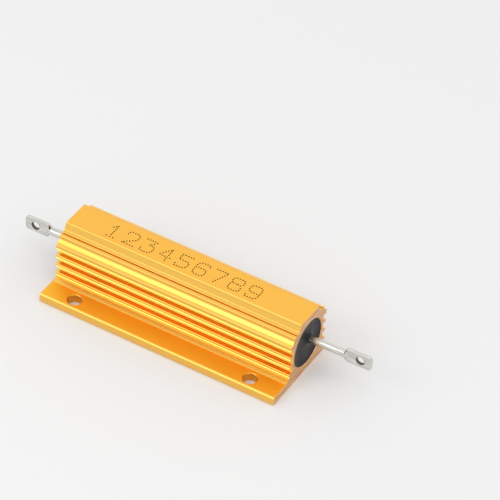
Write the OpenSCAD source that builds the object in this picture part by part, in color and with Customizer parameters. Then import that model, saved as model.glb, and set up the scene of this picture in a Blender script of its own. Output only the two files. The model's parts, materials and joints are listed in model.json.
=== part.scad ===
// Aluminium housed wirewound power resistor.
//
// A wound ceramic element lies in the bore of a finned aluminium extrusion.
// It is bedded in a cement filling and closed at both ends with black resin.
// X runs along the extrusion, Y across it and Z up; the mounting flange is on the -Y side.
// The origin is on the underside, below the bore's axis, at the middle of the length.

/* [Housing] */
// Length of the sawn extrusion
body_len = 100; // [80:1:140]
// Height from the base to the flat top
body_h = 26; // [26:0.5:32]
// Reach of the mounting flange from the bore's axis
flange_reach = 23.5; // [22.5:0.5:30]
// Thickness of the mounting flange
flange_t = 3.5; // [2.5:0.1:4]
// Reach of the raised pad between the flange and the fins, from the bore's axis
pad_reach = 14.8; // [14:0.1:15.4]
// Radius of the upper outer edge of the flange
flange_edge_r = 1.0; // [0.4:0.1:1.6]
// Diameter of the bore for the element
bore_d = 19.2; // [18:0.1:19.6]
// Height of the bore's axis above the base
bore_z = 12.7; // [12.4:0.1:13]
// Chamfer at the mouths of the bore
bore_chamfer = 0.35; // [0.1:0.05:0.5]

/* [Crown and fins] */
// Width of the flat top
top_w = 12.4; // [10:0.2:14]
// Width of the crown at its foot
crown_w = 15.2; // [14.4:0.1:16]
// Depth of the crown's flanks below the flat top
crown_drop = 3.0; // [2.4:0.1:3.2]
// Width of the slot beside the crown
slot_w = 0.8; // [0.5:0.1:1.2]
// Depth of the slot beside the crown
slot_depth = 1.7; // [1:0.1:2]
// Width over the two shoulders beside the crown
shoulder_w = 21.2; // [20.6:0.1:22]
// Width over the roots of the fins
root_w = 21.6; // [21.3:0.1:22]
// Width over the tips of the fins
fin_w = 25.6; // [24.8:0.1:27]
// Number of fins on each side
fin_count = 4; // [2:1:4]
// Spacing of the fins
fin_pitch = 4.2; // [4:0.05:4.4]
// Thickness of a fin at its tip
fin_tip_t = 1.5; // [1.1:0.1:1.7]
// Fall of a fin's upper flank, from its root to its tip
fin_fall = 2.1; // [1.8:0.1:2.2]
// Fall of the flatter, outer part of that flank
fin_slope = 0.6; // [0.3:0.1:1]
// Width of the steeper, inner part of that flank
fin_fillet = 0.7; // [0.4:0.1:1]
// Rise of a fin's underside, from its tip to its root
fin_under = 0.4; // [0.2:0.1:0.6]
// Height of the lowest fin's middle above the base
first_fin_z = 5.8; // [5.6:0.05:6]
// Rounding of the fins and edges
edge_r = 0.35; // [0.15:0.05:0.45]

/* [Mounting holes] */
// Diameter of a mounting hole
hole_d = 5.4; // [4:0.1:6]
// Spacing of the holes along the housing
hole_pitch_x = 75; // [60:0.5:78]
// Distance of the holes' line from the bore's axis
hole_y = 19; // [18.6:0.1:19.6]
// Chamfer at the upper rim of a hole
hole_chamfer = 0.3; // [0.1:0.1:0.6]

/* [Wound element] */
// Distance from a sawn end of the housing to the core's end, with the element centred
core_inset = 10; // [9:0.5:16]
// Diameter of the ceramic core
core_d = 11; // [9:0.1:11.2]
// Diameter of the resistance wire
wire_d = 1.0; // [0.6:0.1:1]
// Turns of the resistance wire
turns = 26; // [12:1:26]
// Length of an end cap's skirt
cap_skirt = 6; // [4:0.5:8]
// Wall of an end cap
cap_wall = 0.6; // [0.4:0.1:0.8]
// Offset of the element along the housing
element_x = 2.1; // [0:0.1:2.4]
// Offset of the element across the housing
element_y = 0.6; // [0:0.1:0.8]
// Offset of the element's middle above the bore's axis
element_z = 0.5; // [0:0.1:0.6]
// Tilt of the element, its +X end up
element_tilt = 1.5; // [0:0.1:1.6]

/* [Terminals] */
// Reach of a terminal's tip beyond the housing, with the element centred
terminal_out = 23.7; // [18:0.1:30]
// Diameter of the terminal's rod
rod_d = 3.0; // [2.4:0.1:3.4]
// Length of the flattened lug
lug_len = 10.9; // [10:0.1:12]
// Height of the lug
lug_h = 6.2; // [5.4:0.1:6.6]
// Thickness of the lug
lug_t = 1.4; // [1:0.1:1.8]
// Length of the shoulder between rod and lug
shoulder_len = 1.8; // [1:0.1:2]
// Rounding of the lug's tip
lug_corner_r = 1.3; // [0.6:0.1:2]
// Diameter of the wire hole in the lug
lug_hole_d = 3.2; // [2.4:0.1:3.4]
// Distance of the wire hole from the tip
lug_hole_x = 4.4; // [4:0.1:5]

/* [Resin and filling] */
// Depth of each resin seal in the bore
seal_depth = 5; // [3:0.5:5]
// Recess of the resin below the sawn end
seal_recess = 0.5; // [0.2:0.1:1]
// Height of the resin that climbs the terminal
collar_h = 1.2; // [0.6:0.1:2]
// Width of the resin that climbs the terminal, at its foot
collar_w = 1.5; // [0.8:0.1:2]
// Width of that resin at its top
collar_lip = 0.3; // [0.2:0.1:0.6]

/* [Clearances] */
// Gap between pieces that fill or fit into each other
fit = 0.05; // [0.03:0.01:0.1]
// Gap between the wire's end turns and the end caps
winding_gap = 0.2; // [0.1:0.05:0.4]

/* [Hidden] */

cut = 1;                       // how far a cutter runs past what it cuts
round_steps = 4;               // straight steps in a small rounded corner
wire_sides = 6;                // sides of the wire's section
wire_steps = 16;               // straight steps in one turn of the wire

bore_r = bore_d / 2;
crown_foot_z = body_h - crown_drop;
shoulder_foot_z = first_fin_z + (fin_count - 1) * fin_pitch + fin_tip_t / 2 + fin_fall + edge_r;
pad_z = first_fin_z - fin_tip_t / 2 - fin_under;   // the pad starts just below the lowest fin
pad_rise = pad_z - flange_t;
core_len = body_len - 2 * core_inset;
terminal_reach = body_len / 2 + terminal_out;  // tip's distance from the element's middle
cap_r = core_d / 2 + fit + cap_wall;
cap_end = core_len / 2 + cap_wall;             // outer face of a cap, in the element's frame
chord_sag = (core_d + wire_d) / 2 * (1 - cos(180 / wire_steps));
coil_r = core_d / 2 + fit + wire_d / 2 + chord_sag;
coil_len = core_len - 2 * cap_skirt - 2 * winding_gap - wire_d;
lug_start = terminal_reach - lug_len;
seal_out = body_len / 2 - seal_recess;         // outer face of a seal
seal_in = seal_out - seal_depth;               // inner face of a seal

housing_colour = "#F5A623";
filling_colour = "#CFC8B8";
ceramic_colour = "#EFEAE0";
wire_colour = "#8F8A80";
cap_colour = "#B9BCC0";
terminal_colour = "#D9DAD8";
resin_colour = "#2B2B2D";

$fn = 96;

// ---- helpers -----------------------------------------------------------

function unit(v) = v / norm(v);

// The corner b between a and c as an arc of radius r, or less where the sides are short
function corner(a, b, c, r) =
    let (
        u = unit(a - b),
        v = unit(c - b),
        half = acos(u * v) / 2,
        back = min(r / tan(half), 0.48 * min(norm(a - b), norm(c - b))),
        rr = back * tan(half),
        centre = b + unit(u + v) * rr / sin(half),
        from = b + u * back - centre,
        to = b + v * back - centre,
        a0 = atan2(from[1], from[0]),
        turn = atan2(from[0] * to[1] - from[1] * to[0], from * to)
    )
    [for (i = [0:round_steps]) centre + rr * [cos(a0 + turn * i / round_steps),
                                              sin(a0 + turn * i / round_steps)]];

// A closed outline of [x, y, radius] corners, rounded where the radius is above zero
function rounded(points) =
    let (n = len(points), at = [for (p = points) [p[0], p[1]]])
    [for (i = [0:n - 1])
        let (arc = points[i][2] > 0
                 ? corner(at[(i + n - 1) % n], at[i], at[(i + 1) % n], points[i][2])
                 : [at[i]])
        for (p = arc) p];

// Lays a drawing in the Y-Z plane and draws it out along X, centred
module drawn_along_x(length) {
    translate([-length / 2, 0, 0])
        rotate([90, 0, 90])
            linear_extrude(height = length) children();
}

// A cylinder or cone that runs along X, from x0 to x1
module bar(x0, x1, d0, d1) {
    translate([x0, 0, 0])
        rotate([0, 90, 0])
            cylinder(h = x1 - x0, d1 = d0, d2 = d1);
}

// The wound element's own frame: its axis is X and its middle is the origin
module in_element() {
    translate([element_x, element_y, bore_z + element_z])
        rotate([0, -element_tilt, 0]) children();
}

// The housing bore's frame, and its mirror for the -X end
module in_bore(side) {
    translate([0, 0, bore_z])
        mirror([side < 0 ? 1 : 0, 0, 0]) children();
}

// ---- housing -----------------------------------------------------------

// One fin's corners, from its upper root to its lower root
function fin_corners(z) = [
    [root_w / 2, z + fin_tip_t / 2 + fin_fall, edge_r],
    [root_w / 2 + fin_fillet, z + fin_tip_t / 2 + fin_slope, fin_fillet],
    [fin_w / 2, z + fin_tip_t / 2, edge_r],
    [fin_w / 2, z - fin_tip_t / 2, edge_r],
    [root_w / 2, z - fin_tip_t / 2 + fin_under, edge_r]
];

// One side of the section, from the flat top to the root of the lowest fin
function side_section() = [
    [top_w / 2, body_h, edge_r],
    [crown_w / 2 - slot_w / 4, crown_foot_z, edge_r / 2],
    [crown_w / 2, crown_foot_z - slot_depth, slot_w / 4],
    [crown_w / 2 + slot_w / 2, crown_foot_z - slot_depth, slot_w / 4],
    [crown_w / 2 + slot_w, crown_foot_z, edge_r / 2],
    [shoulder_w / 2, crown_foot_z - edge_r, edge_r],
    [shoulder_w / 2, shoulder_foot_z, edge_r / 2],
    for (i = [fin_count - 1:-1:0]) for (p = fin_corners(first_fin_z + i * fin_pitch)) p
];

// The foot of the side that carries the mounting flange
function flange_foot() = [
    [root_w / 2, pad_z, edge_r],
    [pad_reach - pad_rise, pad_z - pad_rise / 4, pad_rise],
    [pad_reach, flange_t, edge_r / 2],
    [flange_reach, flange_t, flange_edge_r],
    [flange_reach, 0, edge_r]
];

// The foot of the other side, a lip no wider than the fins
function lip_foot() = [
    [root_w / 2, flange_t, edge_r],
    [fin_w / 2, flange_t, edge_r],
    [fin_w / 2, 0, edge_r]
];

// The whole section: the +Y side, then the -Y side back up to the flat top
function housing_section() =
    let (near = concat(side_section(), flange_foot()), n = len(near))
    concat(side_section(), lip_foot(),
           [for (i = [n - 1:-1:0]) [-near[i][0], near[i][1], near[i][2]]]);

module mounting_hole() {
    translate([0, 0, -cut]) cylinder(h = flange_t + 2 * cut, d = hole_d);
    translate([0, 0, flange_t - hole_chamfer])
        cylinder(h = hole_chamfer + cut, d1 = hole_d, d2 = hole_d + 2 * (hole_chamfer + cut));
}

module bore_mouth(side) {
    in_bore(side)
        bar(body_len / 2 - bore_chamfer, body_len / 2 + cut,
            bore_d, bore_d + 2 * (bore_chamfer + cut));
}

module housing() {
    color(housing_colour)
    difference() {
        drawn_along_x(body_len) polygon(rounded(housing_section()));
        in_bore(1) bar(-body_len / 2 - cut, body_len / 2 + cut, bore_d, bore_d);
        for (side = [-1, 1]) bore_mouth(side);
        for (x = [-1, 1])
            translate([x * hole_pitch_x / 2, -hole_y, 0]) mounting_hole();
    }
}

// ---- wound element -----------------------------------------------------

module ceramic_core() {
    color(ceramic_colour)
    in_element() bar(-core_len / 2, core_len / 2, core_d, core_d);
}

// Middle of the wire at a share t of the winding, from 0 to 1
function coil_at(t) = [
    (t - 0.5) * coil_len,
    coil_r * cos(360 * turns * t),
    coil_r * sin(360 * turns * t)
];

// The wire's section at a share t, square to its path
function wire_ring(t) =
    let (
        angle = 360 * turns * t,
        outward = [0, cos(angle), sin(angle)],
        along = unit([coil_len / (turns * 2 * PI * coil_r), -sin(angle), cos(angle)]),
        aside = cross(along, outward)
    )
    [for (k = [0:wire_sides - 1])
        coil_at(t) + wire_d / 2 * (cos(360 * k / wire_sides) * outward
                                   + sin(360 * k / wire_sides) * aside)];

module resistance_winding() {
    steps = turns * wire_steps;
    n = wire_sides;
    points = [for (i = [0:steps]) for (p = wire_ring(i / steps)) p];
    walls = [for (i = [0:steps - 1], k = [0:n - 1])
        let (a = i * n + k, b = i * n + (k + 1) % n)
        [a, a + n, b + n, b]];
    first_end = [for (k = [0:n - 1]) k];
    last_end = [for (k = [n - 1:-1:0]) steps * n + k];
    color(wire_colour)
    in_element() polyhedron(points, concat(walls, [first_end, last_end]), convexity = 10);
}

module end_cap() {
    difference() {
        bar(core_len / 2 - cap_skirt, cap_end, 2 * cap_r, 2 * cap_r);
        bar(core_len / 2 - cap_skirt - cut, core_len / 2, core_d + 2 * fit, core_d + 2 * fit);
    }
}

module end_cap_right() {
    color(cap_colour) in_element() end_cap();
}

module end_cap_left() {
    color(cap_colour) in_element() mirror([1, 0, 0]) end_cap();
}

// ---- terminals ---------------------------------------------------------

// The flattened end seen from the side, in X and Z
function lug_outline() = [
    [lug_start, -rod_d / 2, 0],
    [lug_start + shoulder_len, -lug_h / 2, shoulder_len / 2],
    [terminal_reach, -lug_h / 2, lug_corner_r],
    [terminal_reach, lug_h / 2, lug_corner_r],
    [lug_start + shoulder_len, lug_h / 2, shoulder_len / 2],
    [lug_start, rod_d / 2, 0]
];

// The flattened end seen from above, in X and Y
function lug_plan() = [
    [lug_start, -rod_d / 2, 0],
    [lug_start + shoulder_len, -lug_t / 2, shoulder_len / 2],
    [terminal_reach + cut, -lug_t / 2, 0],
    [terminal_reach + cut, lug_t / 2, 0],
    [lug_start + shoulder_len, lug_t / 2, shoulder_len / 2],
    [lug_start, rod_d / 2, 0]
];

module terminal() {
    bar(cap_end, lug_start, rod_d, rod_d);
    difference() {
        intersection() {
            rotate([90, 0, 0])
                linear_extrude(height = rod_d, center = true) polygon(rounded(lug_outline()));
            linear_extrude(height = lug_h + cut, center = true) polygon(rounded(lug_plan()));
        }
        translate([terminal_reach - lug_hole_x, 0, 0])
            rotate([90, 0, 0]) cylinder(h = lug_t + 2 * cut, d = lug_hole_d, center = true);
    }
}

module terminal_right() {
    color(terminal_colour) in_element() terminal();
}

module terminal_left() {
    color(terminal_colour) in_element() mirror([1, 0, 0]) terminal();
}

// ---- filling and seals -------------------------------------------------

// Room for the core, the winding, the caps and the rods
module element_room() {
    in_element() {
        bar(-core_len / 2, core_len / 2,
            2 * (coil_r + wire_d / 2 + fit), 2 * (coil_r + wire_d / 2 + fit));
        bar(-cap_end - fit, cap_end + fit, 2 * (cap_r + fit), 2 * (cap_r + fit));
        rod_room();
    }
}

module rod_room() {
    bar(-lug_start, lug_start, rod_d + 2 * fit, rod_d + 2 * fit);
}

module filling() {
    color(filling_colour)
    difference() {
        in_bore(1) bar(-seal_in, seal_in, bore_d - 2 * fit, bore_d - 2 * fit);
        element_room();
    }
}

// Where the element's axis crosses a sawn end, and the resin climbs the rod there
module resin_collar(side) {
    foot_d = rod_d + 2 * collar_w;
    lip_d = rod_d + 2 * collar_lip;
    reach = (seal_out - side * element_x) / cos(element_tilt);
    in_element()
        mirror([side < 0 ? 1 : 0, 0, 0]) {
            bar(reach - seal_depth / 2, reach, foot_d, foot_d);
            bar(reach, reach + collar_h, foot_d, lip_d);
        }
}

module end_seal(side) {
    color(resin_colour)
    difference() {
        union() {
            in_bore(side) bar(seal_in, seal_out, bore_d - 2 * fit, bore_d - 2 * fit);
            resin_collar(side);
        }
        in_element() rod_room();
    }
}

module end_seal_left() {
    end_seal(-1);
}

module end_seal_right() {
    end_seal(1);
}

housing();
filling();
ceramic_core();
resistance_winding();
end_cap_left();
end_cap_right();
terminal_left();
terminal_right();
end_seal_left();
end_seal_right();
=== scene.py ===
# %% [markdown]
# # A power resistor in a gold anodised housing
#
# The object is a wound resistor element in a length of finned aluminium
# extrusion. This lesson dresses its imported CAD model: the housing is drawn
# again with rounded edges and drilled dots, the resin seals get their cast
# skin and the terminals get the form that a press leaves. Everything stays
# where the CAD model has it.

# %% Load the CAD model
import json
import math

import bmesh
import bpy
from mathutils import Matrix, Vector, noise


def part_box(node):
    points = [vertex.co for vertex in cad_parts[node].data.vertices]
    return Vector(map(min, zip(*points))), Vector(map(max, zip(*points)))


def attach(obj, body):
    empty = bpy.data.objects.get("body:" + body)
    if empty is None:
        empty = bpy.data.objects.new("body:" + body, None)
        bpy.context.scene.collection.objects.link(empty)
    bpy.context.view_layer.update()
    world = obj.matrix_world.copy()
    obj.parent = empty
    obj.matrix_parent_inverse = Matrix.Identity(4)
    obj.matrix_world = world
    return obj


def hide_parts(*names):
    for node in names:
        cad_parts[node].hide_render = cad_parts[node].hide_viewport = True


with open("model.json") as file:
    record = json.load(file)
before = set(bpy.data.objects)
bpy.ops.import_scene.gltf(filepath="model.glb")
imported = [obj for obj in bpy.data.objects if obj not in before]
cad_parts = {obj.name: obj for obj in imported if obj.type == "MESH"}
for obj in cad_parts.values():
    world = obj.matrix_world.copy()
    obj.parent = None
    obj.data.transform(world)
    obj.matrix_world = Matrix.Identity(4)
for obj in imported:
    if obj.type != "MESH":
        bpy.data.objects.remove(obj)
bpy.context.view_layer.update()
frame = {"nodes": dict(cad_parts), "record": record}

MM = 0.001

# %% [markdown]
# ## Two helpers
#
# Colours are chosen as sRGB hex codes, which Blender's nodes want as linear
# values. Node trees for materials and for geometry are both written with one
# function that adds a node, sets it up and links its inputs.

# %% Colour and node helpers


def hex_colour(code):
    """An sRGB hex code as linear red, green, blue and alpha."""
    parts = [int(code[i:i + 2], 16) / 255 for i in (1, 3, 5)]
    linear = [p / 12.92 if p <= 0.04045 else ((p + 0.055) / 1.055) ** 2.4 for p in parts]
    return linear + [1.0]


def add_node(tree, kind, inputs=None, **settings):
    """Adds a node, sets its properties, and fills its inputs with values or links."""
    node = tree.nodes.new(kind)
    for name, value in settings.items():
        setattr(node, name, value)
    for key, value in (inputs or {}).items():
        if isinstance(value, bpy.types.NodeSocket):
            tree.links.new(value, node.inputs[key])
        else:
            node.inputs[key].default_value = value
    return node


def new_material(name):
    """An empty node material and its tree."""
    material = bpy.data.materials.new(name)
    material.use_nodes = True
    material.node_tree.nodes.clear()
    return material, material.node_tree


print("amber as linear:", [round(v, 3) for v in hex_colour("#FFBF00")])

# %% [markdown]
# ## Camera
#
# A product picture is taken from well away with a long lens, so that the
# housing's edges stay nearly parallel. The camera looks down on the near
# flange and on the +X end. Its place follows from angles, a distance and the
# size of the field at the object, which are easier to judge than coordinates.

# %% Place the camera
VIEW_TURN = math.radians(27.9)       # round the object, from the front
VIEW_RISE = math.radians(41.2)       # above the horizon
VIEW_ROLL = math.radians(4.15)       # tilt of the camera about its own axis
VIEW_DISTANCE = 1281 * MM
FIELD_WIDTH = 182.7 * MM             # width of the view at the object
SENSOR_WIDTH = 36                    # millimetres, a full-frame sensor
CLIP_END = 20                        # metres, beyond the far edge of the floor
OBJECT_ASIDE = (-22.0 * MM, -14.7 * MM)   # object's middle, from the middle of the view

camera_data = bpy.data.cameras.new("view_camera")
camera = bpy.data.objects.new("view_camera", camera_data)
bpy.context.scene.collection.objects.link(camera)
bpy.context.scene.camera = camera

back = Vector((math.sin(VIEW_TURN) * math.cos(VIEW_RISE),
               -math.cos(VIEW_TURN) * math.cos(VIEW_RISE),
               math.sin(VIEW_RISE)))
level = Vector((math.cos(VIEW_TURN), math.sin(VIEW_TURN), 0))
rise = back.cross(level)
right = level * math.cos(VIEW_ROLL) + rise * math.sin(VIEW_ROLL)
up = rise * math.cos(VIEW_ROLL) - level * math.sin(VIEW_ROLL)

housing_low, housing_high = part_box("housing")
middle = Vector((0, 0, (housing_low[2] + housing_high[2]) / 2))
place = middle + back * VIEW_DISTANCE - right * OBJECT_ASIDE[0] - up * OBJECT_ASIDE[1]
camera.matrix_world = Matrix((right, up, back)).transposed().to_4x4()
camera.matrix_world.translation = place
camera_data.sensor_width = SENSOR_WIDTH
camera_data.lens = camera_data.sensor_width * VIEW_DISTANCE / FIELD_WIDTH
camera_data.clip_end = CLIP_END
print("lens in mm:", round(camera_data.lens, 1))

# %% [markdown]
# ## Light and floor
#
# Anodised metal shows what it reflects, so most of the light is a white room.
# The world is white to the camera and to mirror rays, and a little dimmer as
# ambient light. One overhead softbox gives the object its shadow. A second,
# smaller one stands where only the edges that face the front and the sky
# mirror it, which draws the bright lines along the extrusion.

# %% Set the room
scene = bpy.context.scene
scene.view_settings.view_transform = "Standard"

AMBIENT = 0.81                    # the room's strength as plain light
LAMP_TARGET = (0, 0, 0.01)        # metres, inside the object
world = bpy.data.worlds.new("white_room")
world.use_nodes = True
world.node_tree.nodes.clear()
room = world.node_tree
path = add_node(room, "ShaderNodeLightPath")
seen = add_node(room, "ShaderNodeMath", {0: path.outputs["Is Camera Ray"],
                                         1: path.outputs["Is Glossy Ray"]}, operation="MAXIMUM")
seen = add_node(room, "ShaderNodeMath", {0: seen.outputs[0],
                                         1: path.outputs["Is Transmission Ray"]},
                operation="MAXIMUM")
strength = add_node(room, "ShaderNodeMapRange", {0: seen.outputs[0], 3: AMBIENT, 4: 1.0})
sky = add_node(room, "ShaderNodeBackground", {"Color": (1, 1, 1, 1),
                                              "Strength": strength.outputs[0]})
add_node(room, "ShaderNodeOutputWorld", {"Surface": sky.outputs[0]})
scene.world = world


def soft_lamp(name, place, size, watts):
    """A rectangular area lamp at a place, aimed at the object."""
    data = bpy.data.lights.new(name, "AREA")
    data.shape = "RECTANGLE"
    data.size, data.size_y = size
    data.energy = watts
    lamp = bpy.data.objects.new(name, data)
    lamp.location = place
    aim = Vector(LAMP_TARGET) - Vector(place)
    lamp.rotation_euler = aim.to_track_quat("-Z", "Y").to_euler()
    scene.collection.objects.link(lamp)


soft_lamp("overhead_softbox", place=(0.1, -0.1, 0.9), size=(0.5, 0.5), watts=0.8)
soft_lamp("edge_softbox", place=(-0.32, -0.6, 0.61), size=(0.44, 0.30), watts=0.8)

FLOOR_HALF_WIDTH = 6              # metres
FLOOR_GAP = 0.05 * MM             # keeps the sheet out of the underside's own plane


def pale_floor():
    """A wide pale sheet under the object."""
    bm = bmesh.new()
    bmesh.ops.create_grid(bm, x_segments=1, y_segments=1, size=FLOOR_HALF_WIDTH)
    mesh = bpy.data.meshes.new("floor")
    bm.to_mesh(mesh)
    bm.free()
    floor = bpy.data.objects.new("floor", mesh)
    floor.location.z = -FLOOR_GAP
    scene.collection.objects.link(floor)
    material, tree = new_material("pale_paper")
    paper = add_node(tree, "ShaderNodeBsdfDiffuse", {"Color": hex_colour("#F8F8F8")})
    add_node(tree, "ShaderNodeOutputMaterial", {"Surface": paper.outputs[0]})
    mesh.materials.append(material)


pale_floor()

# %% [markdown]
# ## Gold anodised aluminium
#
# Anodising grows a clear oxide on the metal, and a dye in the oxide makes it
# gold. Under it the metal still mirrors, so the material is a metal with a
# gold base colour, under a thin smooth coat: the sealed oxide, whose white
# glint makes the edges paler than the faces. Where gold faces gold, as
# between the fins, light is filtered twice and turns to deep orange by
# itself. The extrusion die leaves fine lines along the length, which are
# noise stretched along X.

# %% Gold finishes
GOLD = "#FAC44E"
GOLD_DEEP = "#F2BA44"
DIE_LINE_WIDTH = 0.45 * MM        # coarser than the real 0.1 mm, so that it shows
DIE_LINE_LENGTH = 60 * MM
BLAST_GRAIN = 0.35 * MM           # coarser than the real 0.08 mm, so that it shows
COAT_ROUGHNESS = 0.12
NOISE_LOW, NOISE_HIGH = 0.3, 0.7  # where most of a noise's values lie


def stretched_noise(tree, size, detail=3.0):
    """Noise whose spots have the given sizes along X, Y and Z."""
    where = add_node(tree, "ShaderNodeTexCoord")
    scaled = add_node(tree, "ShaderNodeMapping",
                      {"Vector": where.outputs["Object"], "Scale": [1 / s for s in size]})
    spots = add_node(tree, "ShaderNodeTexNoise",
                     {"Vector": scaled.outputs[0], "Scale": 1.0, "Detail": detail})
    return spots.outputs["Fac"]


def blend_colours(tree, share, first, second):
    """Two hex colours mixed by a noise's share, spread to the full range."""
    spread = add_node(tree, "ShaderNodeMapRange", {0: share, 1: NOISE_LOW, 2: NOISE_HIGH})
    mix = add_node(tree, "ShaderNodeMix",
                   {0: spread.outputs[0], 6: hex_colour(first), 7: hex_colour(second)},
                   data_type="RGBA")
    return mix.outputs[2]


def spread_value(tree, share, low, high):
    """A noise's share as a value from low to high."""
    spread = add_node(tree, "ShaderNodeMapRange", {0: share, 1: NOISE_LOW, 2: NOISE_HIGH,
                                                   3: low, 4: high})
    return spread.outputs[0]


def bump(tree, height, depth):
    """A bump of the given depth in metres."""
    relief = add_node(tree, "ShaderNodeBump", {"Height": height, "Distance": depth,
                                               "Strength": 1.0})
    return relief.outputs[0]


def metal(name, colour_a, colour_b, size, roughness, relief, coat=0.0):
    """A metal whose colour, roughness and relief follow one stretched noise."""
    material, tree = new_material(name)
    lines = stretched_noise(tree, size)
    shader = add_node(tree, "ShaderNodeBsdfPrincipled", {
        "Base Color": blend_colours(tree, lines, colour_a, colour_b),
        "Metallic": 1.0,
        "Roughness": spread_value(tree, lines, roughness[0], roughness[1]),
        "Normal": bump(tree, lines, relief),
        "Coat Weight": coat,
        "Coat Roughness": COAT_ROUGHNESS,
    })
    add_node(tree, "ShaderNodeOutputMaterial", {"Surface": shader.outputs[0]})
    return material


extruded_gold = metal("anodised_aluminium_as_extruded", GOLD_DEEP, GOLD,
                      (DIE_LINE_LENGTH, DIE_LINE_WIDTH, DIE_LINE_WIDTH), (0.22, 0.28),
                      0.002 * MM, coat=1.0)
blasted_gold = metal("anodised_aluminium_fine_blasted", "#FABA2C", "#FBBC32",
                     (BLAST_GRAIN, BLAST_GRAIN, BLAST_GRAIN), (0.40, 0.46),
                     0.004 * MM, coat=1.0)
flange_gold = metal("anodised_aluminium_flange_etched", "#FFBF38", "#FFC540",
                    (DIE_LINE_LENGTH, DIE_LINE_WIDTH, DIE_LINE_WIDTH), (0.46, 0.54),
                    0.002 * MM)
print("gold finishes:", extruded_gold.name, blasted_gold.name, flange_gold.name)

# %% [markdown]
# ## Sawn ends and drilled holes
#
# The bar is sawn to length, and the saw leaves a dull face with fine marks
# across it. It takes the dye poorly, so it looks like pale copper. A drilled
# hole has fine rings round its axis, and a peened dot breaks through the
# oxide into a small pit, whose near-black brown is painted shade inside it.

# %% Sawn and drilled finishes
SAW_MARK_WIDTH = 0.4 * MM
SAW_MARK_LENGTH = 7 * MM

sawn_metal = metal("aluminium_sawn_end", "#C48E58", "#F6D0A6",
                   (SAW_MARK_WIDTH, SAW_MARK_LENGTH, SAW_MARK_WIDTH), (0.42, 0.6), 0.025 * MM)
drilled_gold = metal("anodised_aluminium_drilled", "#E39A2C", "#F6B84C",
                     (4 * MM, 4 * MM, 0.3 * MM), (0.3, 0.42), 0.01 * MM)
# The pits' near-black brown is painted shade inside each pit.
pit_painted_shade = metal("peened_dot_painted_shade", "#1A0F05", "#2E1B0A",
                   (0.2 * MM, 0.2 * MM, 0.2 * MM), (0.6, 0.75), 0.004 * MM)
print("cut finishes:", sawn_metal.name, drilled_gold.name, pit_painted_shade.name)

# %% [markdown]
# ## The extrusion's section
#
# An extrusion is one drawing pulled out to a length, so its drawing is worth
# most of the work. The corners of the finned side are written once, each
# with its rounding, and used for both sides. One side ends in the mounting
# flange, the other in a short lip. The rounding has more steps here than in
# the CAD model, because a smooth highlight runs along each edge.

# %% Section of the housing
LENGTH = (housing_high[0] - housing_low[0]) / MM
HEIGHT = (housing_high[2] - housing_low[2]) / MM
FLANGE_REACH = -housing_low[1] / MM
LIP_REACH = housing_high[1] / MM
FLANGE_T = 3.5                    # thickness of the flange and of the lip
FLANGE_EDGE = 1.0                 # rounding of its outer top edge
PAD_REACH = 14.8                  # the low pad at the foot of the fins
PAD_TOP = 4.35
PAD_EDGE = 3.6
TOP_WIDTH = 12.4                  # the flat top
CROWN_WIDTH = 14.7                # where the crown's sloping sides end
CROWN_FOOT = HEIGHT - 2.7
LEDGE = HEIGHT - 3.0              # the ledge beside the crown, with its slot
SLOT_START = 8.7
SLOT_END = 9.3
SLOT_DEPTH = 1.0
SHOULDER_WIDTH = 21.2
ROOT_WIDTH = 21.6                 # across the roots of the fins
FIN_WIDTH = 25.6                  # across their tips
FIN_COUNT = 4
FIN_PITCH = 4.2
FIN_TIP = 1.5                     # thickness of a fin at its tip
FIN_FALL = 2.1                    # how far its upper flank falls from root to tip
FIN_SLOPE = 0.4                   # how much of that lies outside the bend
FIN_FILLET = 0.2
FIN_UNDER = 0.4                   # rise of its lower flank towards the root
FIRST_FIN = 5.8                   # middle of the lowest tip
EDGE = 0.35                       # rounding of a plain edge
TIP_EDGE = 0.4                    # rounding of a tip's upper edge
GROOVE_DEPTH = 0.3                # a shallow groove that the die draws along each tip
GROOVE_RISE = 1.5                 # its upper side, as a multiple of its depth
GROOVE_DROP = 0.35                # its bottom, below the middle of the fin
TOP_FIN_EXTRA = 0.55              # how much taller the tip of the uppermost fin is
TOP_FIN_BEND = (0.9, 1.05)        # where its flank bends, out from its root and down
CROWN_EDGE = 0.5
ARC_STEPS = 7                     # faces in a rounded edge
ARC_REACH = 0.48                  # most of a side that a rounding may take


def arc_corner(before, at, after, radius):
    """The points of a rounded corner, or the corner itself where the radius is zero."""
    if radius == 0:
        return [at]
    u = (before - at).normalized()
    v = (after - at).normalized()
    half = u.angle(v) / 2
    room = ARC_REACH * min((before - at).length, (after - at).length)
    reach = min(radius / math.tan(half), room)
    radius = reach * math.tan(half)
    centre = at + (u + v).normalized() * radius / math.sin(half)
    first = at + u * reach - centre
    last = at + v * reach - centre
    turn = math.atan2(first.cross(last), first.dot(last))
    return [centre + Matrix.Rotation(turn * i / ARC_STEPS, 2) @ first
            for i in range(ARC_STEPS + 1)]


def rounded(corners, closed=True):
    """An outline with each (x, y, radius) corner rounded."""
    at = [Vector(c[:2]) for c in corners]
    count = len(at)
    points = []
    for i, corner in enumerate(corners):
        end = not closed and i in (0, count - 1)
        radius = 0 if end else corner[2]
        points += arc_corner(at[i - 1], at[i], at[(i + 1) % count], radius)
    return points


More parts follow.
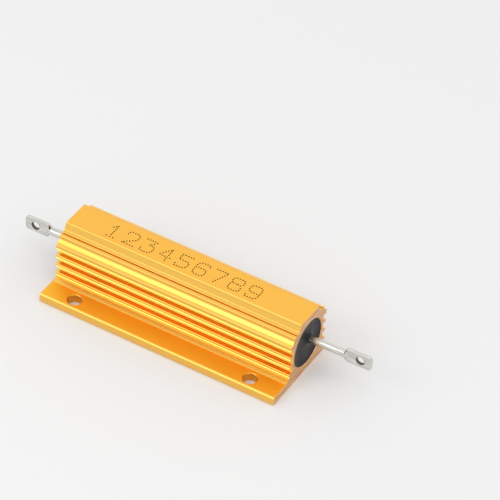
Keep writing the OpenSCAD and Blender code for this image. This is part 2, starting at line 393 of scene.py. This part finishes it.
def side_corners():
    """One side of the section, from the flat top to the lowest fin's root."""
    top_fin = FIRST_FIN + (FIN_COUNT - 1) * FIN_PITCH
    side = [
        (TOP_WIDTH / 2, HEIGHT, CROWN_EDGE),
        (CROWN_WIDTH / 2, CROWN_FOOT, EDGE),
        (SLOT_START, LEDGE, EDGE / 2),
        (SLOT_START + EDGE / 4, LEDGE - SLOT_DEPTH, EDGE / 2),
        (SLOT_END - EDGE / 4, LEDGE - SLOT_DEPTH, EDGE / 2),
        (SLOT_END, LEDGE, EDGE / 2),
        (SHOULDER_WIDTH / 2, LEDGE - EDGE, EDGE),
        (SHOULDER_WIDTH / 2, top_fin + FIN_TIP / 2 + FIN_FALL + EDGE, EDGE / 2),
    ]
    for i in reversed(range(FIN_COUNT)):
        z = FIRST_FIN + i * FIN_PITCH
        root_z = z + FIN_TIP / 2 + FIN_FALL
        tip_z = z + FIN_TIP / 2
        bend = (ROOT_WIDTH / 2 + FIN_FILLET, tip_z + FIN_SLOPE, 2 * FIN_FILLET)
        if z == top_fin:
            bend = (ROOT_WIDTH / 2 + TOP_FIN_BEND[0], root_z - TOP_FIN_BEND[1], EDGE / 2)
            tip_z += TOP_FIN_EXTRA
        side += [
            (ROOT_WIDTH / 2, root_z, EDGE),
            bend,
            (FIN_WIDTH / 2, tip_z, TIP_EDGE),
            (FIN_WIDTH / 2, z - GROOVE_DROP + GROOVE_RISE * GROOVE_DEPTH, EDGE / 3),
            (FIN_WIDTH / 2 - GROOVE_DEPTH, z - GROOVE_DROP, EDGE / 3),
            (FIN_WIDTH / 2, z - GROOVE_DROP - GROOVE_DEPTH, EDGE / 3),
            (FIN_WIDTH / 2, z - FIN_TIP / 2, EDGE / 2),
            (ROOT_WIDTH / 2, z - FIN_TIP / 2 + FIN_UNDER, EDGE),
        ]
    return side


def flange_corners():
    """The foot of the side with the flange; the lowest fin runs into its pad."""
    return [
        (FIN_WIDTH / 2 - EDGE, PAD_TOP, EDGE / 2),
        (PAD_REACH - EDGE / 2, PAD_EDGE, EDGE),
        (PAD_REACH, FLANGE_T, EDGE / 2),
        (FLANGE_REACH, FLANGE_T, FLANGE_EDGE),
        (FLANGE_REACH, 0, EDGE),
    ]


lip_corners = [(ROOT_WIDTH / 2, FLANGE_T, EDGE), (LIP_REACH, FLANGE_T, EDGE),
               (LIP_REACH, 0, EDGE)]
flange_side = side_corners()[:-1] + flange_corners()
section = rounded(side_corners() + lip_corners
                  + [(-y, z, r) for y, z, r in reversed(flange_side)])
print("points in the section:", len(section))

# %% [markdown]
# ## The dotted digits
#
# The real part is marked by a needle that peens one small pit after another
# along each stroke. Here a plain row of digits from one to nine stands in
# that place. Each digit is a few strokes with rounded corners. Geometry Nodes
# walk along the strokes and put a small conical pit at every step, which
# keeps the spacing even on every stroke.

# %% Strokes of the digits
DIGIT_WIDTH = 4.7
DIGIT_HEIGHT = 6.7
DIGIT_STEP = 7.44
ROW_MIDDLE = (-2.9, -0.6)         # middle of the row, from the middle of the flat top
DOT_STEP = 1.06
DOT_RADIUS = 0.31
DOT_DEPTH = 0.26
DOT_APART = 0.6                   # least distance of two dots, as a share of the step

LOOP_SIX = [(1, 0.86, 0), (1, 1, 0.2), (0, 1, 0.4), (0, 0, 0.3), (1, 0, 0.3), (1, 0.56, 0.3),
            (0, 0.56, 0)]
STROKES = {
    "1": [[(0.2, 0.78, 0), (0.5, 1, 0), (0.5, 0, 0)], [(0.2, 0, 0), (0.8, 0, 0)]],
    "2": [[(0, 0.76, 0), (0, 1, 0.25), (1, 1, 0.4), (1, 0.55, 0.2), (0, 0, 0), (1, 0, 0)]],
    "3": [[(0, 1, 0), (1, 1, 0), (0.45, 0.6, 0), (1, 0.6, 0.3), (1, 0, 0.4), (0, 0, 0.3),
           (0, 0.18, 0)]],
    "4": [[(0.75, 0, 0), (0.75, 1, 0), (0, 0.3, 0), (1, 0.3, 0)]],
    "5": [[(1, 1, 0), (0.05, 1, 0), (0.05, 0.58, 0), (1, 0.58, 0.3), (1, 0, 0.4), (0, 0, 0.3),
           (0, 0.16, 0)]],
    "6": [LOOP_SIX],
    "7": [[(0, 1, 0), (1, 1, 0), (0.4, 0, 0)]],
    "8": [[(0.5, 0.54, 0), (0, 0.54, 0.25), (0, 1, 0.25), (1, 1, 0.25), (1, 0.54, 0.25),
           (0, 0.54, 0.25), (0, 0, 0.3), (1, 0, 0.3), (1, 0.54, 0.3), (0.5, 0.54, 0)]],
    "9": [[(1 - x, 1 - y, r) for x, y, r in LOOP_SIX]],
}


def digit_strokes():
    """A curve object with the strokes of all digits, laid on the flat top, in metres."""
    data = bpy.data.curves.new("digit_strokes", "CURVE")
    data.dimensions = "3D"
    for place, digit in enumerate(STROKES):
        middle_x = ROW_MIDDLE[0] + (place - (len(STROKES) - 1) / 2) * DIGIT_STEP
        for stroke in STROKES[digit]:
            sized = [((x - 0.5) * DIGIT_WIDTH + middle_x,
                      (y - 0.5) * DIGIT_HEIGHT + ROW_MIDDLE[1],
                      r * DIGIT_WIDTH) for x, y, r in stroke]
            points = rounded(sized, closed=False)
            spline = data.splines.new("POLY")
            spline.points.add(len(points) - 1)
            for point, (x, y) in zip(spline.points, points):
                point.co = (x * MM, y * MM, HEIGHT * MM, 1)
    strokes = bpy.data.objects.new("digit_strokes", data)
    scene.collection.objects.link(strokes)
    return strokes


strokes = digit_strokes()
print("strokes:", len(strokes.data.splines))

# %% [markdown]
# The tree below has named inputs for the step, the size and the depth of a
# dot. Merge by Distance drops the second of two dots where strokes meet.

# %% Peen the dots with Geometry Nodes


def new_geometry_tree(name, sizes):
    """A geometry tree with a geometry input and named float inputs, and its input node."""
    tree = bpy.data.node_groups.new(name, "GeometryNodeTree")
    tree.interface.new_socket("Geometry", in_out="INPUT", socket_type="NodeSocketGeometry")
    for size in sizes:
        tree.interface.new_socket(size, in_out="INPUT", socket_type="NodeSocketFloat")
    tree.interface.new_socket("Geometry", in_out="OUTPUT", socket_type="NodeSocketGeometry")
    return tree, add_node(tree, "NodeGroupInput")


def apply_geometry_tree(piece, tree, values):
    """Runs a tree on an object and returns the result as a plain mesh."""
    modifier = piece.modifiers.new(tree.name, "NODES")
    modifier.node_group = tree
    for item in tree.interface.items_tree:
        if item.item_type == "SOCKET" and item.in_out == "INPUT" and item.name in values:
            modifier[item.identifier] = values[item.name]
    shown = piece.evaluated_get(bpy.context.evaluated_depsgraph_get())
    mesh = bpy.data.meshes.new_from_object(shown)
    piece.modifiers.remove(modifier)
    return mesh


def dot_tree():
    """Walks along curves and sinks a conical pit at each step."""
    tree, given = new_geometry_tree("peened_dots", ["Step", "Radius", "Depth"])
    walk = add_node(tree, "GeometryNodeCurveToPoints",
                    {"Curve": given.outputs["Geometry"], "Length": given.outputs["Step"]},
                    mode="LENGTH")
    places = add_node(tree, "GeometryNodePointsToVertices", {"Points": walk.outputs["Points"]})
    apart = add_node(tree, "ShaderNodeMath", {0: given.outputs["Step"], 1: DOT_APART},
                     operation="MULTIPLY")
    single = add_node(tree, "GeometryNodeMergeByDistance",
                      {"Geometry": places.outputs[0], "Distance": apart.outputs[0]})
    pit = add_node(tree, "GeometryNodeMeshCone",
                   {"Vertices": 10, "Side Segments": 2, "Radius Top": given.outputs["Radius"],
                    "Radius Bottom": 0.0, "Depth": given.outputs["Depth"]}, fill_type="NONE")
    drop = add_node(tree, "ShaderNodeMath", {0: given.outputs["Depth"], 1: -1.0},
                    operation="MULTIPLY")
    below = add_node(tree, "ShaderNodeCombineXYZ", {"Z": drop.outputs[0]})
    sunk = add_node(tree, "GeometryNodeTransform",
                    {"Geometry": pit.outputs["Mesh"], "Translation": below.outputs[0]})
    dots = add_node(tree, "GeometryNodeInstanceOnPoints",
                    {"Points": single.outputs[0], "Instance": sunk.outputs[0]})
    real = add_node(tree, "GeometryNodeRealizeInstances", {"Geometry": dots.outputs[0]})
    # The pits get the near-black brown of painted shade.
    dark = add_node(tree, "GeometryNodeSetMaterial",
                    {"Geometry": real.outputs[0], "Material": pit_painted_shade})
    add_node(tree, "NodeGroupOutput", {"Geometry": dark.outputs[0]})
    return tree


pits = apply_geometry_tree(strokes, dot_tree(), {"Step": DOT_STEP * MM, "Radius": DOT_RADIUS * MM,
                                                 "Depth": DOT_DEPTH * MM})
bpy.data.objects.remove(strokes)
print("faces in the pits:", len(pits.polygons))

# %% [markdown]
# ## The housing's shell
#
# The section is drawn along X with a hair of a broken edge at both sawn
# ends. Three of its long strips have holes: the flat top with the pits, the
# flange and the underside. Those strips and the sawn ends are filled between
# loops, which keeps them flat and the shell closed, with no boolean.

# %% Tools for the shell
EDGE_BREAK = 0.08                 # broken edge round both sawn ends
ROUND_STEPS = 48                  # faces round a hole or the bore
BORE_RADIUS = 9.6
BORE_Z = 12.7
BORE_CHAMFER = 0.35
HOLE_RIM = 0.3                    # chamfer of a mounting hole, above
HOLE_FOOT_RIM = 0.15              # and below
SAME_LEVEL = 1e-4
MERGE_DISTANCE = 0.0005           # points nearer than this are one point
SHARP_ANGLE = 32                  # degrees, above which an edge stays sharp

record = frame["record"]
mounts = {mount["name"]: mount for mount in record["mounts"]}
hole_pattern = mounts["mounting_holes"]["dims"]
holes_middle = Vector(mounts["mounting_holes"]["pos_m"]) / MM


def inset(outline, depth):
    """The outline moved inwards by a small depth, for a clockwise outline."""
    moved = []
    for i, at in enumerate(outline):
        along = (outline[(i + 1) % len(outline)] - outline[i - 1]).normalized()
        moved.append(at + Vector((along.y, -along.x)) * depth)
    return moved


def ring(bm, centre, first, second, radius):
    """A circle of vertices in the plane of two directions."""
    return [bm.verts.new(centre + radius * (math.cos(a) * first + math.sin(a) * second))
            for a in (2 * math.pi * i / ROUND_STEPS for i in range(ROUND_STEPS))]


def bridge(bm, a, b, finish):
    """Faces between two rings of as many vertices."""
    for i in range(len(a)):
        j = (i + 1) % len(a)
        bm.faces.new((a[i], a[j], b[j], b[i])).material_index = finish


def loop_edges(bm, loop):
    """The edges of a closed loop of vertices, made where they are missing."""
    pairs = zip(loop, loop[1:] + loop[:1])
    return [bm.edges.get(pair) or bm.edges.new(pair) for pair in pairs]


def fill_between(bm, edges, normal, finish):
    """A flat face between an outer loop and the loops inside it."""
    made = bmesh.ops.triangle_fill(bm, use_beauty=True, edges=edges, normal=normal)
    for item in made["geom"]:
        if isinstance(item, bmesh.types.BMFace):
            item.material_index = finish


print("mounting holes:", hole_pattern)

# %% Build the shell
SKIN, CROWN, SAWN, DRILLED, PIT, FLANGE = range(6)
X, Y, Z = Vector((1, 0, 0)), Vector((0, 1, 0)), Vector((0, 0, 1))


def drilled_hole(bm, x, y):
    """A hole through a flange, and its upper and lower loops."""
    radius = hole_pattern["hole_r_mm"]
    levels = [(FLANGE_T, radius + HOLE_RIM), (FLANGE_T - HOLE_RIM, radius),
              (HOLE_FOOT_RIM, radius), (0, radius + HOLE_FOOT_RIM)]
    rings = [ring(bm, Vector((x, y, z)), X, Y, r) for z, r in levels]
    for a, b in zip(rings, rings[1:]):
        bridge(bm, a, b, DRILLED)
    return rings[0], rings[-1]


def round_bore(bm):
    """The bore with its chamfered mouths, and the two outer loops."""
    half = LENGTH / 2
    levels = [(-half, BORE_RADIUS + BORE_CHAMFER), (-half + BORE_CHAMFER, BORE_RADIUS),
              (half - BORE_CHAMFER, BORE_RADIUS), (half, BORE_RADIUS + BORE_CHAMFER)]
    rings = [ring(bm, Vector((x, 0, BORE_Z)), Y, Z, r) for x, r in levels]
    for a, b, finish in zip(rings, rings[1:], (SAWN, DRILLED, SAWN)):
        bridge(bm, a, b, finish)
    return rings[0], rings[-1]


def strip_at(rings, level):
    """The index and the corners of the widest flat strip at a height."""
    flat = [j for j in range(len(section))
            if abs(section[j - 1].y - level) + abs(section[j].y - level) < SAME_LEVEL]
    j = max(flat, key=lambda k: abs(section[k].x - section[k - 1].x))
    return j, [rings[1][j - 1], rings[1][j], rings[2][j], rings[2][j - 1]]


def housing_shell():
    """The closed shell of the drilled, sawn and marked extrusion, in millimetres."""
    bm = bmesh.new()
    bm.from_mesh(pits)
    bmesh.ops.scale(bm, vec=(1 / MM,) * 3, verts=bm.verts)
    for face in bm.faces:
        face.material_index = PIT
    pit_rims = [edge for edge in bm.edges if edge.is_boundary]
    half = LENGTH / 2
    narrow = inset(section, EDGE_BREAK)
    stations = [(-half, narrow), (-half + EDGE_BREAK, section),
                (half - EDGE_BREAK, section), (half, narrow)]
    rings = [[bm.verts.new((x, y, z)) for y, z in outline] for x, outline in stations]
    strips = {"top": strip_at(rings, HEIGHT), "flange": strip_at(rings, FLANGE_T),
              "under": strip_at(rings, 0)}
    open_at = {index for index, corners in strips.values()}
    for k in range(3):
        for j in range(len(section)):
            if k == 1 and j in open_at:
                continue
            quad = (rings[k][j - 1], rings[k][j], rings[k + 1][j], rings[k + 1][j - 1])
            bm.faces.new(quad).material_index = SKIN

    fills = {name: loop_edges(bm, corners) for name, (index, corners) in strips.items()}
    fills["top"] += pit_rims
    for x_side in (-1, 1):
        x = holes_middle.x + x_side * hole_pattern["spacing_x_mm"] / 2
        upper, lower = drilled_hole(bm, x, holes_middle.y)
        fills["flange"] += loop_edges(bm, upper)
        fills["under"] += loop_edges(bm, lower)
    finishes = {"top": CROWN, "flange": FLANGE, "under": SKIN}
    for name, edges in fills.items():
        fill_between(bm, edges, -Z if name == "under" else Z, finishes[name])
    for mouth, outline, normal in zip(round_bore(bm), (rings[0], rings[3]), (-X, X)):
        fill_between(bm, loop_edges(bm, outline) + loop_edges(bm, mouth), normal, SAWN)
    return bm


def smooth_by_angle(bm):
    """Smooth faces, with sharp edges where two faces meet at a sharp angle."""
    limit = math.radians(SHARP_ANGLE)
    for face in bm.faces:
        face.smooth = True
    for edge in bm.edges:
        edge.smooth = len(edge.link_faces) == 2 and edge.calc_face_angle(0) < limit


def mesh_piece(name, bm, materials):
    """Closes a mesh drawn in millimetres, turns it to metres and makes it a piece."""
    bmesh.ops.remove_doubles(bm, verts=bm.verts, dist=MERGE_DISTANCE)
    bmesh.ops.recalc_face_normals(bm, faces=bm.faces)
    smooth_by_angle(bm)
    bmesh.ops.scale(bm, vec=(MM,) * 3, verts=bm.verts)
    mesh = bpy.data.meshes.new(name)
    bm.to_mesh(mesh)
    open_edges = sum(1 for edge in bm.edges if not edge.is_manifold)
    bm.free()
    for material in materials:
        mesh.materials.append(material)
    piece = bpy.data.objects.new(name, mesh)
    scene.collection.objects.link(piece)
    print(name, "faces", len(mesh.polygons), "open edges", open_edges)
    return piece


def apply_modifiers(piece):
    """Bakes a piece's modifiers into a plain mesh."""
    shown = piece.evaluated_get(bpy.context.evaluated_depsgraph_get())
    mesh = bpy.data.meshes.new_from_object(shown)
    piece.modifiers.clear()
    piece.data = mesh


housing = mesh_piece("finned_housing", housing_shell(),
                     [extruded_gold, blasted_gold, sawn_metal, drilled_gold, pit_painted_shade,
                      flange_gold])
weighted = housing.modifiers.new("even_normals", "WEIGHTED_NORMAL")
weighted.keep_sharp = True
apply_modifiers(housing)
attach(housing, "root")
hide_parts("housing")

# %% [markdown]
# ## Where the element lies
#
# The two wire holes in the lugs lie on the element's axis, so the line
# between them gives the axis without any more numbers. It is a little off
# the bore's axis, because the element is bedded by hand.

# %% The element's frame
lug_right = Vector(mounts["terminal_hole_right"]["pos_m"]) / MM
lug_left = Vector(mounts["terminal_hole_left"]["pos_m"]) / MM
element_axis = (lug_right - lug_left).normalized()
element_middle = (lug_right + lug_left) / 2
element_turn = element_axis.to_track_quat("X", "Z").to_matrix().to_4x4()
lug_hole_reach = (lug_right - lug_left).length / 2
print("element tilt in degrees:", round(math.degrees(math.asin(element_axis.z)), 2))

# %% [markdown]
# ## Tinned terminals
#
# Each terminal is a tinned rod whose end is squeezed flat in a press and
# punched. The squeezed metal has to go somewhere, so the lug is taller than
# the rod and its edges stay round. The form is a row of rings whose width,
# height and squareness change along the rod. The punch shears through the
# tin, and the hole's wall is painted dark grey as shade inside the hole.

# %% Tinned metal
tinned = metal("copper_hot_tinned", "#B8B8B0", "#EAEAE4",
               (9 * MM, 0.40 * MM, 0.40 * MM), (0.16, 0.30), 0.03 * MM)
# The hole's dark grey wall is painted shade inside the punched hole.
lug_hole_painted_shade = metal("lug_hole_wall_painted_shade", "#453F39", "#7C766E",
                (0.5 * MM, 0.5 * MM, 0.5 * MM), (0.35, 0.5), 0.01 * MM)
print("finishes:", tinned.name, lug_hole_painted_shade.name)

# %% Press the terminals
ROD_RADIUS = 1.5
LUG_LENGTH = 10.9
LUG_HEIGHT = 6.2
LUG_THICKNESS = 1.4
SHOULDER = 1.8                    # length over which the rod turns into the lug
LUG_HOLE_RADIUS = mounts["terminal_hole_right"]["dims"]["r_mm"]
HOLE_TO_TIP = 4.4
LUG_TIP = lug_hole_reach + HOLE_TO_TIP
LUG_START = LUG_TIP - LUG_LENGTH
TIP_ROUND = 1.3
RING_POINTS = 56
SHOULDER_RINGS = 10
TIP_RINGS = 8
CIRCLE, OBLONG = 2, 7             # how square a ring across the rod is
CAP_FACE = 40.6                   # where the rod starts, at the end cap
HOLE_FLARE = 0.2
DRILL_PAST = 1                    # how far the drill sticks out of the lug


def squeezed_ring(bm, x, half_y, half_z, square):
    """One ring across the rod, between a circle and a rounded oblong."""
    points = []
    for i in range(RING_POINTS):
        angle = 2 * math.pi * i / RING_POINTS
        c, s = math.cos(angle), math.sin(angle)
        scale = (abs(c) ** square + abs(s) ** square) ** (-1 / square)
        points.append(bm.verts.new((x, half_y * c * scale, half_z * s * scale)))
    return points


def terminal_shell():
    """The rod and its pressed lug along X, with the tip towards +X."""
    bm = bmesh.new()
    rings = [squeezed_ring(bm, x, ROD_RADIUS, ROD_RADIUS, CIRCLE)
             for x in (CAP_FACE, (CAP_FACE + LUG_START) / 2, LUG_START)]
    for i in range(1, SHOULDER_RINGS + 1):
        t = i / SHOULDER_RINGS
        ease = t * t * (3 - 2 * t)
        half_y = ROD_RADIUS + (LUG_THICKNESS / 2 - ROD_RADIUS) * ease
        half_z = ROD_RADIUS + (LUG_HEIGHT / 2 - ROD_RADIUS) * math.sqrt(ease)
        rings.append(squeezed_ring(bm, LUG_START + SHOULDER * t, half_y, half_z,
                                   CIRCLE + (OBLONG - CIRCLE) * ease))
    for i in range(TIP_RINGS + 1):
        angle = math.pi / 2 * i / TIP_RINGS
        drop = TIP_ROUND * (1 - math.cos(angle))
        rings.append(squeezed_ring(bm, LUG_TIP - TIP_ROUND * (1 - math.sin(angle)),
                                   LUG_THICKNESS / 2, LUG_HEIGHT / 2 - drop, OBLONG))
    for a, b in zip(rings, rings[1:]):
        bridge(bm, a, b, 0)
    bm.faces.new(list(reversed(rings[0])))
    bm.faces.new(rings[-1])
    return bm


def hole_cutter():
    """A drill with flared ends, across the lug."""
    bm = bmesh.new()
    half = LUG_THICKNESS / 2
    mouth = LUG_HOLE_RADIUS + HOLE_FLARE + DRILL_PAST
    levels = [(-half - DRILL_PAST, mouth), (-half + HOLE_FLARE, LUG_HOLE_RADIUS),
              (half - HOLE_FLARE, LUG_HOLE_RADIUS), (half + DRILL_PAST, mouth)]
    rings = [ring(bm, Vector((lug_hole_reach, y, 0)), Z, X, r) for y, r in levels]
    for a, b in zip(rings, rings[1:]):
        bridge(bm, a, b, 0)
    bm.faces.new(rings[0])
    bm.faces.new(rings[-1])
    # The cut wall takes the dark grey of painted shade.
    return mesh_piece("drill", bm, [lug_hole_painted_shade])


def punch(piece, cutter):
    """Cuts the cutter's form out of a piece."""
    cut = piece.modifiers.new("punch", "BOOLEAN")
    cut.object = cutter
    cut.solver = "EXACT"
    cut.material_mode = "TRANSFER"
    apply_modifiers(piece)


def place_in_element(piece, side):
    """Puts a piece drawn along +X at one end of the element, in its mesh."""
    turn = Matrix.Rotation(math.pi, 4, "Z") if side < 0 else Matrix.Identity(4)
    place = Matrix.Translation(element_middle * MM)
    piece.data.transform(place @ element_turn @ turn)


drill = hole_cutter()
for side, node in ((1, "terminal_right"), (-1, "terminal_left")):
    terminal = mesh_piece("tinned_" + node, terminal_shell(), [tinned])
    punch(terminal, drill)
    place_in_element(terminal, side)
    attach(terminal, "root")
    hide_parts(node)
bpy.data.objects.remove(drill)

# %% [markdown]
# ## Black resin seals
#
# Liquid resin is poured into the ends of the bore and sets. It creeps up the
# wall of the bore and up the terminal, and the middle sinks a little as it
# cures. The face is a sheet of points between two circles, the rod's and the
# bore's, whose height follows that rule, with small lumps near the rod.

# %% Resin finish


def cast_resin():
    """Black epoxy with a satin skin, faint grey bloom and small pimples."""
    material, tree = new_material("black_epoxy_cast")
    bloom = stretched_noise(tree, (5 * MM, 3 * MM, 5 * MM), 4)
    pimples = stretched_noise(tree, (0.5 * MM, 0.5 * MM, 0.5 * MM), 2)
    shader = add_node(tree, "ShaderNodeBsdfPrincipled", {
        "Base Color": blend_colours(tree, bloom, "#0F0F11", "#1E1E21"),
        "Roughness": spread_value(tree, bloom, 0.36, 0.55),
        "Specular IOR Level": 0.3,
        "Normal": bump(tree, pimples, 0.03 * MM),
    })
    add_node(tree, "ShaderNodeOutputMaterial", {"Surface": shader.outputs[0]})
    return material


resin = cast_resin()
print("finish:", resin.name)

# %% Cast the seals
SEAL_RECESS = 0.5                 # from the sawn end in to the face
SEAL_FIT = 0.05                   # gap to the bore and to the rod
CREEP_WALL, WALL_SPAN = 0.35, 0.5     # height and width of the rim at the wall
CREEP_ROD, ROD_SPAN = 1.1, 0.55       # and of the collar at the rod
SINK = 0.25
LUMP_HEIGHT, LUMP_SPAN = 0.35, 2.0
LUMP_SCALE = 0.9
LUMP_SHIFT = 7                    # makes the two ends' lumps differ
FACE_RINGS = 26
FACE_SPOKES = 96


def seal_shell(side):
    """One seal as a closed shell, in millimetres, at the +X or the -X end."""
    bm = bmesh.new()
    low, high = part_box("end_seal_right" if side > 0 else "end_seal_left")
    inner = (low[0] if side > 0 else high[0]) / MM
    outer = side * (LENGTH / 2 - SEAL_RECESS)
    share = (outer - element_middle.x) / element_axis.x
    rod_at = element_middle + element_axis * share
    rod_radius = ROD_RADIUS + SEAL_FIT
    wall_radius = BORE_RADIUS - SEAL_FIT

    def point(t, angle):
        """A place on the sheet: t is 0 at the rod and 1 at the wall."""
        spoke = Vector((math.cos(angle), math.sin(angle)))
        near = Vector((rod_at.y, rod_at.z)) + spoke * rod_radius
        far = Vector((0, BORE_Z)) + spoke * wall_radius
        flat = near.lerp(far, t)
        from_rod = (flat - near).length
        from_wall = (far - flat).length
        lumps = noise.noise(Vector((flat.x, flat.y, side * LUMP_SHIFT)) * LUMP_SCALE)
        rise_there = (CREEP_ROD * math.exp(-from_rod / ROD_SPAN)
                      + CREEP_WALL * math.exp(-from_wall / WALL_SPAN)
                      - SINK * math.sin(math.pi * t)
                      + LUMP_HEIGHT * max(lumps, 0) * math.exp(-from_rod / LUMP_SPAN))
        return Vector((outer + side * rise_there, flat.x, flat.y))

    sheet = []
    for i in range(FACE_RINGS + 1):
        t = i / FACE_RINGS
        t = 0.5 - 0.5 * math.cos(math.pi * t)
        sheet.append([bm.verts.new(point(t, 2 * math.pi * k / FACE_SPOKES))
                      for k in range(FACE_SPOKES)])
    inner_rings = []
    for outline in (sheet[-1], sheet[0]):
        inner_rings.append([bm.verts.new((inner, vert.co.y, vert.co.z)) for vert in outline])
    for a, b in zip(sheet, sheet[1:]):
        bridge(bm, a, b, 0)
    bridge(bm, sheet[-1], inner_rings[0], 0)
    bridge(bm, inner_rings[0], inner_rings[1], 0)
    bridge(bm, inner_rings[1], sheet[0], 0)
    return bm


for side, node in ((1, "end_seal_right"), (-1, "end_seal_left")):
    seal = mesh_piece("resin_" + node, seal_shell(side), [resin])
    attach(seal, "root")
    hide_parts(node)

# %% [markdown]
# ## The element inside
#
# The core, its caps and the filling are out of sight, and their CAD solids
# have the right shape already. They get their own finishes all the same, so
# that a cut through the model looks right: bisque ceramic, pressed steel,
# and the grey cement that carries the heat to the housing.

# %% Finishes of the inner pieces


def mineral(name, colour_a, colour_b, grain, roughness, relief):
    """A matt fired or set mineral with grains of the given size."""
    material, tree = new_material(name)
    grains = stretched_noise(tree, (grain, grain, grain), 5)
    shader = add_node(tree, "ShaderNodeBsdfPrincipled", {
        "Base Color": blend_colours(tree, grains, colour_a, colour_b),
        "Roughness": spread_value(tree, grains, roughness[0], roughness[1]),
        "Normal": bump(tree, grains, relief),
    })
    add_node(tree, "ShaderNodeOutputMaterial", {"Surface": shader.outputs[0]})
    return material


inner_finishes = {
    "filling": mineral("cement_set", "#BDB6A6", "#D8D2C4", 0.8 * MM, (0.8, 0.95), 0.05 * MM),
    "ceramic_core": mineral("steatite_bisque", "#E6E1D6", "#F3F0E8", 0.5 * MM, (0.6, 0.75),
                            0.01 * MM),
    "end_cap_left": metal("steel_sheet_pressed", "#9C9EA0", "#BFC1C3",
                          (6 * MM, 0.6 * MM, 0.6 * MM), (0.25, 0.4), 0.006 * MM),
}
inner_finishes["end_cap_right"] = inner_finishes["end_cap_left"]
for node, material in inner_finishes.items():
    for slot in frame["nodes"][node].material_slots:
        slot.material = material
print("finished:", sorted(inner_finishes))

# %% [markdown]
# The winding is a rule made of wire: so many turns of a given wire along the
# core. Geometry Nodes draw its helix as a spiral curve and sweep a round
# section along it.

# %% Wind the wire with Geometry Nodes
WIRE_RADIUS = 0.5                 # coarser than the real wire, with fewer turns
WIRE_TURNS = 26
WIRE_SIDES = 8
TURN_STEPS = 24                   # straight steps in one turn
WINDING_LENGTH = 66.6
COIL_RADIUS = 6.1
wire_finish = metal("nickel_chrome_wire_drawn", "#8A857C", "#A7A198",
                    (0.6 * MM, 0.6 * MM, 0.6 * MM), (0.3, 0.45), 0.004 * MM)


def winding_tree():
    """A helix along Z as a swept wire, turned to lie along X."""
    tree, given = new_geometry_tree("wound_wire", ["Turns", "Coil Radius", "Length",
                                                   "Wire Radius"])
    helix = add_node(tree, "GeometryNodeCurveSpiral",
                     {"Resolution": TURN_STEPS, "Rotations": given.outputs["Turns"],
                      "Start Radius": given.outputs["Coil Radius"],
                      "End Radius": given.outputs["Coil Radius"],
                      "Height": given.outputs["Length"]})
    round_wire = add_node(tree, "GeometryNodeCurvePrimitiveCircle",
                          {"Resolution": WIRE_SIDES, "Radius": given.outputs["Wire Radius"]})
    swept = add_node(tree, "GeometryNodeCurveToMesh",
                     {"Curve": helix.outputs[0], "Profile Curve": round_wire.outputs[0],
                      "Fill Caps": True})
    laid = add_node(tree, "GeometryNodeTransform",
                    {"Geometry": swept.outputs[0], "Rotation": (0, math.pi / 2, 0),
                     "Translation": (-WINDING_LENGTH * MM / 2, 0, 0)})
    real = add_node(tree, "GeometryNodeRealizeInstances", {"Geometry": laid.outputs[0]})
    dressed = add_node(tree, "GeometryNodeSetMaterial",
                       {"Geometry": real.outputs[0], "Material": wire_finish})
    add_node(tree, "NodeGroupOutput", {"Geometry": dressed.outputs[0]})
    return tree


def wound_wire():
    """The winding as a plain mesh in place of its coarse CAD solid."""
    seed = bpy.data.objects.new("wire_seed", bpy.data.meshes.new("wire_seed"))
    scene.collection.objects.link(seed)
    mesh = apply_geometry_tree(seed, winding_tree(), {
        "Turns": float(WIRE_TURNS), "Coil Radius": COIL_RADIUS * MM,
        "Length": WINDING_LENGTH * MM, "Wire Radius": WIRE_RADIUS * MM})
    seed.data = mesh
    seed.name = "wound_wire"
    for polygon in mesh.polygons:
        polygon.use_smooth = True
    place_in_element(seed, 1)
    return seed


winding = wound_wire()
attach(winding, "root")
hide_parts("resistance_winding")
print("faces in the winding:", len(winding.data.polygons))
